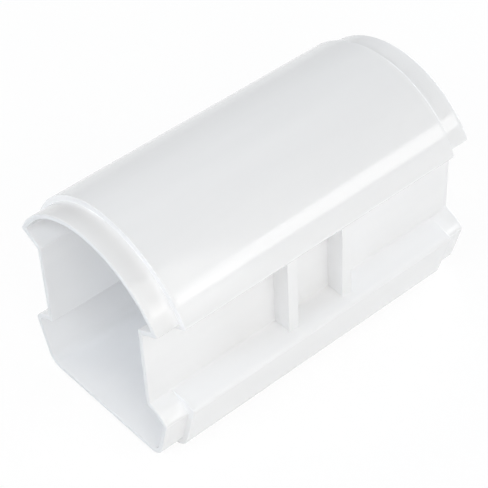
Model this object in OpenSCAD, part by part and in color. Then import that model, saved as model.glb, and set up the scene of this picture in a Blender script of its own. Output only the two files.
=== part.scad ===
// Gutter union: one moulded sleeve with a domed top, open at both ends.
// X runs along the tube, Y across it and Z up. The origin is at mid-length, on the centre line,
// on the flat underside that the part rests on.

/* [Tube] */
// Length from one rim to the other
length = 195; // [140:1:320]
// Thickness of the wall at the two mouths
wall = 2.6; // [2:0.1:4]
// Length of the lower band at each end, which takes the gutter's end
band = 13; // [6:1:25]
// How far the middle stands proud of the end bands
proud = 3; // [1.5:0.1:4]

/* [Domed top] */
// Width across the tips of the two eaves, on the end bands
eaves_w = 100; // [94:1:112]
// Height of the tips above the underside of the end bands
eaves_h = 85; // [76:1:100]
// Rise of the dome from its tips to its crown
rise = 29.5; // [22:0.5:36]
// How far each eave's underside falls on its way in to the side wall
eave_fall = 5.8; // [3:0.1:8]
// Radius of the eave tips on the end bands
tip_r = 0.8; // [0.4:0.1:1.5]
// Radius of the blunt lip along the middle's eaves
lip_r = 2.2; // [1:0.1:3]

/* [Side walls] */
// Width across the two upright side walls
waist_w = 77; // [70:1:80]
// Height where the side walls end on the shoulders
shoulder_h = 34.5; // [30:0.5:40]

/* [Foot] */
// Width across the shoulder ridges of the end bands
ridge_w = 100; // [94:1:106]
// Height of the shoulder ridges of the end bands
ridge_h = 27; // [23:0.5:29]
// Radius of the curve that the end bands' shoulders follow
shoulder_r = 20; // [16:0.5:30]
// Width of the flat underside, measured to where its rounded corners would meet
base_w = 84.5; // [80:0.5:90]
// Radius of the two lower corners
corner_r = 9; // [6:0.5:12]
// Height of the shoulder ridges of the middle
mid_ridge_h = 31.5; // [29.5:0.1:33]
// Radius of the flatter curve that the middle's shoulders follow
mid_shoulder_r = 35; // [28:1:60]
// Radius along the shoulder ridges
ridge_r = 1.6; // [0.8:0.1:2.5]

/* [Ribs] */
// Thickness of each upright rib
rib_t = 6; // [3:0.5:10]
// Distance between the middles of the two ribs on a side
rib_pitch = 34.6; // [16:0.2:60]
// How far the ribs stand out from the side wall
rib_out = 10; // [4:0.5:11]

/* [Hidden] */
// Roundness left in the inner corners of the passage
inner_r = 2;
// How deep the ribs are rooted in the side wall and the shoulder
rib_seat = 1.5;
// Straight steps in each round stretch of half a section
dome_steps = 28;
shoulder_steps = 8;
corner_steps = 9;
edge_steps = 6;

// The dome's circle goes through both tips and the crown
dome_r = (rise * rise + eaves_w * eaves_w / 4) / (2 * rise);
dome_c = [0, eaves_h + rise - dome_r];
eave_tip = [eaves_w / 2, eaves_h];
// Slope of an eave's underside
eave_a = atan(eave_fall / (eaves_w / 2 - waist_w / 2));
// Slant of the foot's sides from the upright
lean = atan((ridge_w - base_w) / 2 / ridge_h);
// Middle of a lower corner's round
corner_c = [base_w / 2 - corner_r * (1 - sin(lean)) / cos(lean), corner_r];
// Middles of the curves that the shoulders follow, on the end bands and on the middle
shoulder_top = [waist_w / 2, shoulder_h];
shoulder_c = arc_middle(shoulder_top, [ridge_w / 2, ridge_h], shoulder_r);
mid_shoulder_c = arc_middle(shoulder_top, [lean_x(mid_ridge_h, proud), mid_ridge_h], mid_shoulder_r);

function unit(a) = [cos(a), sin(a)];
function direction(v) = atan2(v.y, v.x);

// Points of an arc about c, from one direction to another
function arc(c, r, from, to, steps) = [for (i = [0:steps]) c + r * unit(from + (to - from) * i / steps)];

// Middle of an arc of radius r that bulges up and out from p down to q
function arc_middle(p, q, r) =
    let (half = (q - p) / 2, away = [half.y, -half.x] / norm(half))
    p + half + away * sqrt(r * r - half * half);

// Half width of the foot's slanting side at a height, moved out by a distance
function lean_x(z, out) = base_w / 2 + z * tan(lean) + out / cos(lean);

// Height of an eave's underside at a half width, moved out by a distance
function eave_z(x, out) = eaves_h - (eaves_w / 2 - x) * tan(eave_a) - out / cos(eave_a);

// Middle of the round of radius r that touches a circle about c from inside and a straight edge.
// The edge goes through p in the direction a, with the wall on its left.
function round_middle(c, circle_r, p, a, r) =
    let (left = unit(a + 90), across = r - (c - p) * left, ahead = sqrt(pow(circle_r - r, 2) - across * across))
    c + across * left + ahead * unit(a);

// Right half of the dome and its eave, from the crown to the side wall.
// The faces lie a distance out from the end bands' own, and r rounds the eave's tip.
function top_half(out, half_w, r) =
    let (
        r_out = dome_r + out,
        tip_c = round_middle(dome_c, r_out, eave_tip - out * unit(eave_a + 90), eave_a, r),
        meet = direction(tip_c - dome_c)
    )
    concat(
        arc(dome_c, r_out, 90, meet, dome_steps),
        arc(tip_c, r, meet, eave_a - 90, edge_steps),
        [[half_w, eave_z(half_w, out)]]
    );

// Right half of the foot, from the side wall over the shoulder and its ridge to the flat underside
function foot_half(out, half_w, c, arc_r, r) =
    let (
        ridge_c = round_middle(c, arc_r, [lean_x(0, out), 0], 90 - lean, r),
        meet = direction(ridge_c - c),
        start = direction([half_w - c.x, sqrt(arc_r * arc_r - pow(half_w - c.x, 2))])
    )
    concat(
        arc(c, arc_r, start, meet, shoulder_steps),
        arc(ridge_c, r, meet, -lean, edge_steps),
        arc(corner_c, corner_r + out, -lean, -90, corner_steps)
    );

// Whole closed section from its right half: the crown is the one point on the centre line
function section(top, foot) =
    let (half = concat(top, foot))
    concat(half, [for (i = [len(half) - 1:-1:1]) [-half[i].x, half[i].y]]);

function band_section() =
    section(
        top_half(0, waist_w / 2, tip_r),
        foot_half(0, waist_w / 2, shoulder_c, shoulder_r, ridge_r)
    );

function middle_section() =
    section(
        top_half(proud, waist_w / 2, lip_r),
        foot_half(proud, waist_w / 2, mid_shoulder_c, mid_shoulder_r, ridge_r)
    );

// The passage follows the end bands at one wall's thickness
function passage_section() =
    section(
        top_half(-wall, waist_w / 2 - wall, inner_r),
        foot_half(-wall, waist_w / 2 - wall, shoulder_c, shoulder_r - wall, inner_r)
    );

// Draws a section of the tube along X, centred on mid-length
module along_tube(l) {
    translate([-l / 2, 0, proud]) rotate([90, 0, 90]) linear_extrude(l) children();
}

// Upright rib in each side groove, from inside the shoulder up into the eave
module rib_pair() {
    low = mid_ridge_h - rib_seat;
    along_tube(rib_t)
        for (side = [0, 1]) mirror([side, 0])
            translate([waist_w / 2 - rib_seat, low]) square([rib_out + rib_seat, eaves_h - low]);
}

module gutter_union() {
    color("white")
        difference() {
            union() {
                along_tube(length) polygon(band_section());
                along_tube(length - 2 * band) polygon(middle_section());
                for (x = [-rib_pitch / 2, rib_pitch / 2]) translate([x, 0, 0]) rib_pair();
            }
            along_tube(length + 2) polygon(passage_section());
        }
}

gutter_union();
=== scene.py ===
"""A white moulded gutter union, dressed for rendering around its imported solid."""

import bpy
import numpy as np
from mathutils import Matrix


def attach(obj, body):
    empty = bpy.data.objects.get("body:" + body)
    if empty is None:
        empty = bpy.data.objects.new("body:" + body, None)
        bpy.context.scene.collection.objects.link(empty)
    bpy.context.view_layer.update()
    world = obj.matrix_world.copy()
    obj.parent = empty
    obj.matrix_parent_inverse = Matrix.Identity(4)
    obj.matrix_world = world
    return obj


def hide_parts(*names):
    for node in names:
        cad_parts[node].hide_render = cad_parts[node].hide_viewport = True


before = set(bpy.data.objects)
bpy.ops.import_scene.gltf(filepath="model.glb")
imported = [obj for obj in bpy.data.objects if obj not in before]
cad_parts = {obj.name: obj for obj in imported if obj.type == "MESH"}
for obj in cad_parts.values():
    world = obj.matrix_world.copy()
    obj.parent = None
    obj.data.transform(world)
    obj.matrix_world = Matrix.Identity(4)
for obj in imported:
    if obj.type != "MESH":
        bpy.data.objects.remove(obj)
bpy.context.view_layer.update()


# ---- Sleeve -------------------------------------------------------------
# The sleeve is one injection moulding in white plastic: a domed top with overhanging hollow
# eaves, set-in side walls and a flared foot. A short band at each mouth is 3 mm lower than
# the middle, so that the gutter's end can slide over it and butt against the step.

# Outline of the end bands, in millimetres, as in the solid
EAVES_HALF, EAVES_HEIGHT, RISE, EAVE_FALL = 50.0, 85.0, 29.5, 5.8
WAIST_HALF, SHOULDER_HEIGHT = 38.5, 34.5
RIDGE_HALF, RIDGE_HEIGHT, SHOULDER_RADIUS = 50.0, 27.0, 20.0
BASE_HALF, CORNER_RADIUS, RIDGE_RADIUS = 42.25, 9.0, 1.6
TIP_RADIUS, LIP_RADIUS = 0.8, 2.2
MIDDLE_RIDGE_HEIGHT, MIDDLE_SHOULDER_RADIUS = 31.5, 35.0
WALL, PROUD, LENGTH, BAND = 2.6, 3.0, 195.0, 13.0
INNER_RADIUS, ROOT_FILLET = 2.0, 0.7
MM_PER_METRE = 1000

DOME_RADIUS = (RISE ** 2 + EAVES_HALF ** 2) / (2 * RISE)
DOME_CENTRE = np.array([0, EAVES_HEIGHT + RISE - DOME_RADIUS])
EAVE_SLOPE = np.arctan(EAVE_FALL / (EAVES_HALF - WAIST_HALF))
LEAN = np.arctan((RIDGE_HALF - BASE_HALF) / RIDGE_HEIGHT)

# Points along each round and each straight stretch of half an outline
DOME_POINTS, TIP_POINTS, FILLET_POINTS, SHOULDER_POINTS = 65, 9, 6, 17
RIDGE_POINTS, CORNER_POINTS = 8, 15
EAVE_POINTS, WALL_POINTS, SIDE_POINTS, UNDERSIDE_POINTS = 7, 13, 9, 7


def direction(angle):
    """Unit vector at an angle: (cos a, sin a)."""
    return np.array([np.cos(angle), np.sin(angle)])


def angle_of(v):
    """Angle of a vector: atan2 of its second and first value."""
    return np.arctan2(v[1], v[0])


def arc(centre, radius, start, end, count):
    """Points of an arc: centre + radius (cos a, sin a), for count angles from start to end."""
    a = np.linspace(start, end, count)
    return centre + radius * np.stack([np.cos(a), np.sin(a)], 1)


def stretch(start, end, count):
    """Inner points of a straight stretch, crowded towards both ends by a cosine."""
    s = (1 - np.cos(np.pi * np.arange(1, count + 1) / (count + 1))) / 2
    return np.asarray(start) + s[:, None] * (np.asarray(end) - np.asarray(start))


def bulge_centre(p, q, radius):
    """Centre of the arc through p and q that bulges up and out: the middle of the chord, moved
    inwards along its normal by the root of radius squared less half the chord squared."""
    half = (np.asarray(q) - np.asarray(p)) / 2
    inward = np.array([half[1], -half[0]]) / np.linalg.norm(half)
    return np.asarray(p) + half + inward * np.sqrt(radius ** 2 - half @ half)


def round_centre(circle, circle_radius, p, angle, radius):
    """Centre of the round that touches a circle from inside and a straight edge through p: it is
    radius from the edge and circle_radius less radius from the circle's centre."""
    left = direction(angle + np.pi / 2)
    across = radius - (circle - p) @ left
    ahead = np.sqrt((circle_radius - radius) ** 2 - across ** 2)
    return circle + across * left + ahead * direction(angle)


def lean_half(height, out):
    """Half width of the foot's slanting side: base + height tan(lean) + out / cos(lean)."""
    return BASE_HALF + height * np.tan(LEAN) + out / np.cos(LEAN)


def eave_height(half, out):
    """Height of an eave's underside: it falls from the tip at the eave's slope, less out / cos."""
    return EAVES_HEIGHT - (EAVES_HALF - half) * np.tan(EAVE_SLOPE) - out / np.cos(EAVE_SLOPE)


def outline(out, half_wall, tip_radius, shoulder_centre, shoulder_radius, ridge_radius):
    """Closed outline of the sleeve at a distance out from the end bands' face: dome arc, tip round,
    straight underside, root fillet, upright wall, fillet, shoulder arc, ridge round, slanting side,
    corner arc and half the underside, then the same points mirrored. All outlines have the same
    number of points, so one blends into another point by point."""
    dome = DOME_RADIUS + out
    tip = round_centre(DOME_CENTRE, dome, np.array([EAVES_HALF, EAVES_HEIGHT])
                       - out * direction(EAVE_SLOPE + np.pi / 2), EAVE_SLOPE, tip_radius)
    tip_start = angle_of(tip - DOME_CENTRE)
    top = np.array([half_wall + ROOT_FILLET,
                    eave_height(half_wall + ROOT_FILLET, out) - ROOT_FILLET / np.cos(EAVE_SLOPE)])
    away = half_wall + ROOT_FILLET - shoulder_centre[0]
    low = np.array([half_wall + ROOT_FILLET, shoulder_centre[1]
                    + np.sqrt((shoulder_radius + ROOT_FILLET) ** 2 - away ** 2)])
    ridge = round_centre(shoulder_centre, shoulder_radius, np.array([lean_half(0, out), 0]),
                         np.pi / 2 - LEAN, ridge_radius)
    ridge_start = angle_of(ridge - shoulder_centre)
    corner = np.array([BASE_HALF - CORNER_RADIUS * (1 - np.sin(LEAN)) / np.cos(LEAN),
                       CORNER_RADIUS])
    shoulder_start = angle_of(low - shoulder_centre)

    dome_arc = arc(DOME_CENTRE, dome, np.pi / 2, tip_start, DOME_POINTS)
    tip_arc = arc(tip, tip_radius, tip_start, EAVE_SLOPE - np.pi / 2, TIP_POINTS)
    top_arc = arc(top, ROOT_FILLET, EAVE_SLOPE + np.pi / 2, np.pi, FILLET_POINTS)
    low_arc = arc(low, ROOT_FILLET, np.pi, shoulder_start + np.pi, FILLET_POINTS)
    shoulder_arc = arc(shoulder_centre, shoulder_radius, shoulder_start, ridge_start,
                       SHOULDER_POINTS)
    ridge_arc = arc(ridge, ridge_radius, ridge_start, -LEAN, RIDGE_POINTS)
    corner_arc = arc(corner, CORNER_RADIUS + out, -LEAN, -np.pi / 2, CORNER_POINTS)
    half = np.concatenate([
        dome_arc[:-1],
        tip_arc, stretch(tip_arc[-1], top_arc[0], EAVE_POINTS),
        top_arc, stretch(top_arc[-1], low_arc[0], WALL_POINTS),
        low_arc, shoulder_arc[1:-1],
        ridge_arc, stretch(ridge_arc[-1], corner_arc[0], SIDE_POINTS),
        corner_arc, stretch(corner_arc[-1], [0, -out], UNDERSIDE_POINTS), [[0, -out]],
    ])
    return np.concatenate([half, half[-2:0:-1] * [-1, 1]])


band_shoulder = bulge_centre([WAIST_HALF, SHOULDER_HEIGHT], [RIDGE_HALF, RIDGE_HEIGHT],
                             SHOULDER_RADIUS)
middle_shoulder = bulge_centre([WAIST_HALF, SHOULDER_HEIGHT],
                               [lean_half(MIDDLE_RIDGE_HEIGHT, PROUD), MIDDLE_RIDGE_HEIGHT],
                               MIDDLE_SHOULDER_RADIUS)
band_outline = outline(0, WAIST_HALF, TIP_RADIUS, band_shoulder, SHOULDER_RADIUS, RIDGE_RADIUS)
middle_outline = outline(PROUD, WAIST_HALF, LIP_RADIUS, middle_shoulder, MIDDLE_SHOULDER_RADIUS,
                         RIDGE_RADIUS)
passage_outline = outline(-WALL, WAIST_HALF - WALL, INNER_RADIUS, band_shoulder,
                          SHOULDER_RADIUS - WALL, INNER_RADIUS)

# The path goes from the middle of the passage out to a rim, round it, along the band, up the step
# and to mid-length. Its second value is the depth: -WALL in the passage, 0 on the band and PROUD
# on the middle. Rings stand FLAT_RUN from each edge, so that the shading stays flat beside it.
RIM_ROUND, STEP_FILLET, STEP_ROUND, STEP_DRAFT = 0.7, 0.4, 0.4, 0.12
RIM, STEP, FLAT_RUN = LENGTH / 2, LENGTH / 2 - BAND, 3
QUARTER_POINTS = 6


def quarter(x, depth, radius, start, end):
    """Quarter round of the path about (x, depth), from one angle to another in degrees."""
    return arc(np.array([x, depth]), radius, np.radians(start), np.radians(end), QUARTER_POINTS)


path = np.concatenate([
    [[0, -WALL], [STEP / 2, -WALL], [STEP, -WALL], [RIM - FLAT_RUN, -WALL]],
    quarter(RIM - RIM_ROUND, RIM_ROUND - WALL, RIM_ROUND, -90, 0),
    quarter(RIM - RIM_ROUND, -RIM_ROUND, RIM_ROUND, 0, 90),
    [[RIM - FLAT_RUN, 0], [STEP + FLAT_RUN, 0]],
    quarter(STEP + STEP_FILLET, STEP_FILLET, STEP_FILLET, 270, 180),
    quarter(STEP - STEP_DRAFT - STEP_ROUND, PROUD - STEP_ROUND, STEP_ROUND, 0, 90),
    [[STEP - FLAT_RUN, PROUD], [STEP / 2, PROUD], [0, PROUD]],
])
path = np.concatenate([path, path[-2:0:-1] * [-1, 1]])

# Each ring is the blend of two outlines at its place's depth
depth = path[:, 1][:, None, None]
inner = np.clip(-depth / WALL, 0, 1)
outer = np.clip(depth / PROUD, 0, 1)
rings = (band_outline + inner * (passage_outline - band_outline)
         + outer * (middle_outline - band_outline))
points = np.concatenate([np.broadcast_to(path[:, :1, None], rings.shape[:2] + (1,)), rings], 2)
points[:, :, 2] += PROUD
points /= MM_PER_METRE


def grid_faces(rows, columns):
    """Quads of a grid that closes on itself both ways: each joins (i, j), (i+1, j), (i+1, j+1)
    and (i, j+1), counted round."""
    i, j = np.meshgrid(np.arange(rows), np.arange(columns), indexing="ij")
    i2, j2 = (i + 1) % rows, (j + 1) % columns
    return np.stack([i * columns + j, i2 * columns + j, i2 * columns + j2, i * columns + j2],
                    -1).reshape(-1, 4)


def make_piece(name, vertices, faces):
    """Object at the origin with the given vertices in metres and faces, smooth shaded."""
    mesh = bpy.data.meshes.new(name)
    mesh.from_pydata(vertices.reshape(-1, 3).tolist(), [], faces.tolist())
    mesh.polygons.foreach_set("use_smooth", np.ones(len(mesh.polygons), bool))
    mesh.validate()
    piece = bpy.data.objects.new(name, mesh)
    bpy.context.scene.collection.objects.link(piece)
    return piece


sleeve = make_piece("union_sleeve", points, grid_faces(*points.shape[:2]))


# ---- Side ribs ------------------------------------------------------------
# Four upright ribs are moulded in one with the sleeve, two in each side groove. Each runs from
# the shoulder up into the hollow eave and stands 10 mm out from the side wall.
RIB_THICK, RIB_PITCH, RIB_OUT, RIB_SEAT = 6.0, 34.6, 10.0, 1.5
RIB_EDGE_ROUND, SHARP_EDGE = 0.5, 35


def rib_block(x, side):
    """Block of one rib: a four-sided profile across the sleeve, carried along x for its thickness.
    Its top and bottom lie RIB_SEAT inside the eave and the shoulder."""
    inside, outside = WAIST_HALF - RIB_SEAT, WAIST_HALF + RIB_OUT

    def shoulder(half):
        return middle_shoulder[1] + np.sqrt(MIDDLE_SHOULDER_RADIUS ** 2
                                            - (half - middle_shoulder[0]) ** 2)

    profile = np.array([
        [inside, shoulder(inside) - RIB_SEAT], [outside, shoulder(outside) - RIB_SEAT],
        [outside, eave_height(outside, PROUD) + RIB_SEAT],
        [inside, eave_height(inside, PROUD) + RIB_SEAT],
    ]) * [side, 1] + [0, PROUD]
    ends = [np.column_stack([np.full(4, x + end * RIB_THICK / 2), profile]) for end in (-1, 1)]
    return np.concatenate(ends) / MM_PER_METRE


def settle(piece):
    """Applies the piece's modifiers: its mesh becomes the finished one."""
    graph = bpy.context.evaluated_depsgraph_get()
    rough = piece.data
    piece.data = bpy.data.meshes.new_from_object(piece.evaluated_get(graph))
    piece.modifiers.clear()
    bpy.data.meshes.remove(rough)


rib_faces = np.array([[0, 1, 2, 3], [7, 6, 5, 4], [0, 4, 5, 1], [1, 5, 6, 2], [2, 6, 7, 3],
                      [3, 7, 4, 0]])
for side in (-1, 1):
    for x in (-RIB_PITCH / 2, RIB_PITCH / 2):
        faces = rib_faces if side < 0 else rib_faces[:, ::-1]
        rib = make_piece("rib", rib_block(x, side), faces)
        join = sleeve.modifiers.new("rib", "BOOLEAN")
        join.operation, join.solver, join.object = "UNION", "EXACT", rib
        settle(sleeve)
        bpy.data.objects.remove(rib)

# The mould leaves a small round along every rib edge and a small fillet at every rib root, where
# faces meet at more than SHARP_EDGE degrees
soften = sleeve.modifiers.new("rib_edges", "BEVEL")
soften.limit_method, soften.angle_limit = "ANGLE", np.radians(SHARP_EDGE)
soften.width, soften.segments, soften.harden_normals = RIB_EDGE_ROUND / MM_PER_METRE, 3, True
settle(sleeve)

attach(sleeve, "root")
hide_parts("gutter_union")


# ---- White plastic ----------------------------------------------------------
# Glossy white moulding compound. The polished mould leaves a faint orange peel and a slow
# waviness, the melt leaves pale flow marks along the tube, and the rims are trimmed and duller,
# with painted shade on them.
plastic = bpy.data.materials.new("white_plastic")
plastic.use_nodes = True
tree = plastic.node_tree
shader = tree.nodes["Principled BSDF"]
shader.inputs["IOR"].default_value = 1.53
place = tree.nodes.new("ShaderNodeTexCoord").outputs["Object"]


def mottle(cycles_per_metre, stretch_x, detail):
    """Noise over the object's own coordinates, drawn out along x by a factor."""
    size = tree.nodes.new("ShaderNodeMapping")
    size.inputs["Scale"].default_value = (1 / stretch_x, 1, 1)
    tree.links.new(place, size.inputs["Vector"])
    noise = tree.nodes.new("ShaderNodeTexNoise")
    noise.inputs["Scale"].default_value = cycles_per_metre
    noise.inputs["Detail"].default_value = detail
    tree.links.new(size.outputs["Vector"], noise.inputs["Vector"])
    return noise.outputs["Fac"]


def ramp(source, low, high, start, end):
    """Value that goes from start to end as the source goes from low to high."""
    step = tree.nodes.new("ShaderNodeMapRange")
    for name, value in (("From Min", low), ("From Max", high), ("To Min", start), ("To Max", end)):
        step.inputs[name].default_value = value
    tree.links.new(source, step.inputs["Value"])
    return step.outputs["Result"]


def blend_colours(factor, first, second):
    """Colour between two, each a colour or another blend."""
    mix = tree.nodes.new("ShaderNodeMix")
    mix.data_type = "RGBA"
    tree.links.new(factor, mix.inputs["Factor"])
    for socket, colour in ((mix.inputs[6], first), (mix.inputs[7], second)):
        if isinstance(colour, tuple):
            socket.default_value = colour + (1,)
        else:
            tree.links.new(colour, socket)
    return mix.outputs[2]


# Flow marks: two whites a shade apart, drawn out along the tube
flow = ramp(mottle(55, 6, 4), 0.35, 0.65, 0, 1)
white = blend_colours(flow, (0.902, 0.904, 0.912), (0.921, 0.922, 0.929))

# Rims: the last half millimetre of the tube, from TRIM_SHADE_START to TRIM_SHADE_END millimetres
# before the rim, is duller where it is trimmed, and darker by painted shade for its end faces
TRIM_SHADE_START, TRIM_SHADE_END, TRIM_ROUGHNESS = 0.55, 0.15, 0.5
split = tree.nodes.new("ShaderNodeSeparateXYZ")
tree.links.new(place, split.inputs[0])
along = tree.nodes.new("ShaderNodeMath")
along.operation = "ABSOLUTE"
tree.links.new(split.outputs["X"], along.inputs[0])
rim = ramp(along.outputs[0], (RIM - TRIM_SHADE_START) / MM_PER_METRE, (RIM - TRIM_SHADE_END) / MM_PER_METRE,
           0, 1)
# Painted shade: the darker colour at the rims stands in for the shade on their end faces
tree.links.new(blend_colours(rim, white, (0.80, 0.81, 0.825)), shader.inputs["Base Color"])

# The gloss varies slightly, and the trimmed rims are nearly matt
gloss = ramp(mottle(30, 2, 3), 0.3, 0.7, 0.09, 0.13)
dull = tree.nodes.new("ShaderNodeMix")
tree.links.new(rim, dull.inputs[0])
tree.links.new(gloss, dull.inputs[2])
dull.inputs[3].default_value = TRIM_ROUGHNESS
tree.links.new(dull.outputs[0], shader.inputs["Roughness"])

# Orange peel of 1.5 mm over a slow waviness of 25 mm, 4 and 40 microns high
WAVE_HEIGHT, PEEL_HEIGHT = 0.00004, 0.000004
waves = tree.nodes.new("ShaderNodeBump")
waves.inputs["Distance"].default_value = WAVE_HEIGHT
tree.links.new(mottle(40, 3, 1), waves.inputs["Height"])
peel = tree.nodes.new("ShaderNodeBump")
peel.inputs["Distance"].default_value = PEEL_HEIGHT
tree.links.new(mottle(700, 1, 2), peel.inputs["Height"])
tree.links.new(waves.outputs["Normal"], peel.inputs["Normal"])
tree.links.new(peel.outputs["Normal"], shader.inputs["Normal"])
sleeve.data.materials.clear()
sleeve.data.materials.append(plastic)


# ---- Stage, light and camera ----------------------------------------------------
# Plain white floor in a white studio, soft boxes round it, and the photograph's viewpoint.
FLOOR_SIZE, FLOOR_WHITE, FLOOR_SHARE = 8, 1.02, 0.88
bpy.ops.mesh.primitive_plane_add(size=FLOOR_SIZE)
floor = bpy.context.object
floor.name = "floor"


def white_for_viewer(tree, plain, strength, share, target):
    """Mixes a plain white emission over a shader by a share, for camera, glossy and transmission
    rays only: factor = share times the largest of the three."""
    rays = tree.nodes.new("ShaderNodeLightPath")
    seen = rays.outputs["Is Camera Ray"]
    for other in ("Is Glossy Ray", "Is Transmission Ray"):
        largest = tree.nodes.new("ShaderNodeMath")
        largest.operation = "MAXIMUM"
        tree.links.new(seen, largest.inputs[0])
        tree.links.new(rays.outputs[other], largest.inputs[1])
        seen = largest.outputs[0]
    factor = tree.nodes.new("ShaderNodeMath")
    factor.operation = "MULTIPLY"
    factor.inputs[1].default_value = share
    tree.links.new(seen, factor.inputs[0])
    white = tree.nodes.new("ShaderNodeBackground" if share == 1 else "ShaderNodeEmission")
    white.name = "viewer_white"
    white.inputs["Strength"].default_value = strength
    mix = tree.nodes.new("ShaderNodeMixShader")
    tree.links.new(factor.outputs[0], mix.inputs[0])
    tree.links.new(plain, mix.inputs[1])
    tree.links.new(white.outputs[0], mix.inputs[2])
    tree.links.new(mix.outputs[0], target)


# The floor looks all but white and keeps a faint shadow
paint = bpy.data.materials.new("floor_paint")
paint.use_nodes = True
tree = paint.node_tree
matt = tree.nodes["Principled BSDF"]
matt.inputs["Base Color"].default_value = (0.9, 0.9, 0.9, 1)
matt.inputs["Roughness"].default_value = 0.9
white_for_viewer(tree, matt.outputs[0], FLOOR_WHITE, FLOOR_SHARE,
                 tree.nodes["Material Output"].inputs["Surface"])
floor.data.materials.append(paint)

world = bpy.data.worlds.new("studio")
world.use_nodes = True
tree = world.node_tree
fill = tree.nodes["Background"]
fill.inputs["Color"].default_value = (1, 1, 1, 1)
fill.inputs["Strength"].default_value = 0.09
white_for_viewer(tree, fill.outputs[0], 1.0, 1, tree.nodes["World Output"].inputs["Surface"])
bpy.context.scene.world = world

# Soft boxes stand round the sleeve. Each has an azimuth and an elevation in degrees, a distance,
# width and height in metres, a brightness, where a white floor in full light has 1, and a tint.
# The ones that face the two mouths are cooler than the rest.
AIM = np.array([0, 0, 0.06])
WARM, COOL = (1.0, 0.986, 0.957), (0.872, 0.933, 1.0)
SOFT_BOXES = {
    "key_box": (-120, 30, 1.3, 0.7, 0.6, 2.5, WARM),
    "side_key_box": (-150, 35, 1.3, 0.7, 0.6, 0.72, WARM),
    "high_key_box": (-105, 45, 1.3, 0.6, 0.5, 1.7, WARM),
    "front_box": (-105, 26, 1.3, 0.6, 0.5, 0.5, WARM),
    "low_front_box": (-80, 20, 1.3, 0.7, 0.4, 1.16, WARM),
    "high_front_box": (-75, 45, 1.3, 0.6, 0.5, 1.45, WARM),
    "end_box": (2, 14, 1.5, 1.3, 0.6, 7.35, COOL),
    "back_box": (110, 35, 1.4, 1.1, 0.8, 2.6, WARM),
    "left_box": (178, 32, 1.3, 0.8, 0.7, 3.25, COOL),
}
STRIP_PLACE, STRIP_AIM = (0.603, -0.935, 0.626), (0, -0.04, 0.08)
STRIP_ALONG, STRIP_WIDTH, STRIP_HEIGHT, STRIP_BRIGHTNESS = (0.951, 0.295, -0.089), 0.56, 0.235, 2.94


def soft_box(name, place, aim, along, width, height, brightness, tint):
    """Rectangular lamp that faces aim, with its width along a direction. Its power is pi times
    its area times its brightness."""
    back = (np.array(place) - aim) / np.linalg.norm(np.array(place) - aim)
    across = np.array(along) - np.dot(along, back) * back
    across /= np.linalg.norm(across)
    lamp = bpy.data.lights.new(name, "AREA")
    lamp.shape, lamp.size, lamp.size_y = "RECTANGLE", width, height
    lamp.energy = np.pi * width * height * brightness
    lamp.color = tint
    box = bpy.data.objects.new(name, lamp)
    turn = np.eye(4)
    turn[:3, 0], turn[:3, 1], turn[:3, 2] = across, np.cross(back, across), back
    turn[:3, 3] = place
    box.matrix_world = Matrix(turn.tolist())
    bpy.context.scene.collection.objects.link(box)


for name, (azimuth, elevation, distance, width, height, brightness, tint) in SOFT_BOXES.items():
    a, e = np.radians(azimuth), np.radians(elevation)
    toward = np.array([np.cos(a) * np.cos(e), np.sin(a) * np.cos(e), np.sin(e)])
    soft_box(name, AIM + distance * toward, AIM, (-np.sin(a), np.cos(a), 0), width, height,
             brightness, tint)
# The narrow one draws the bright line along the dome and the shade beside each rib
soft_box("strip_box", STRIP_PLACE, STRIP_AIM, STRIP_ALONG, STRIP_WIDTH, STRIP_HEIGHT,
         STRIP_BRIGHTNESS, WARM)

# The camera stands where the photograph's perspective puts it: metres, and degrees about X, Y, Z
CAMERA_PLACE, CAMERA_TURN = (-0.38457, -0.46478, 0.60595), (47.218, 2.329, -41.361)
SENSOR_WIDTH, LENS = 36, 123.54
camera = bpy.data.objects.new("camera", bpy.data.cameras.new("camera"))
camera.data.sensor_width, camera.data.lens = SENSOR_WIDTH, LENS
camera.location, camera.rotation_euler = CAMERA_PLACE, np.radians(CAMERA_TURN)
bpy.context.scene.collection.objects.link(camera)
bpy.context.scene.camera = camera

bpy.context.scene.view_settings.view_transform = "Standard"
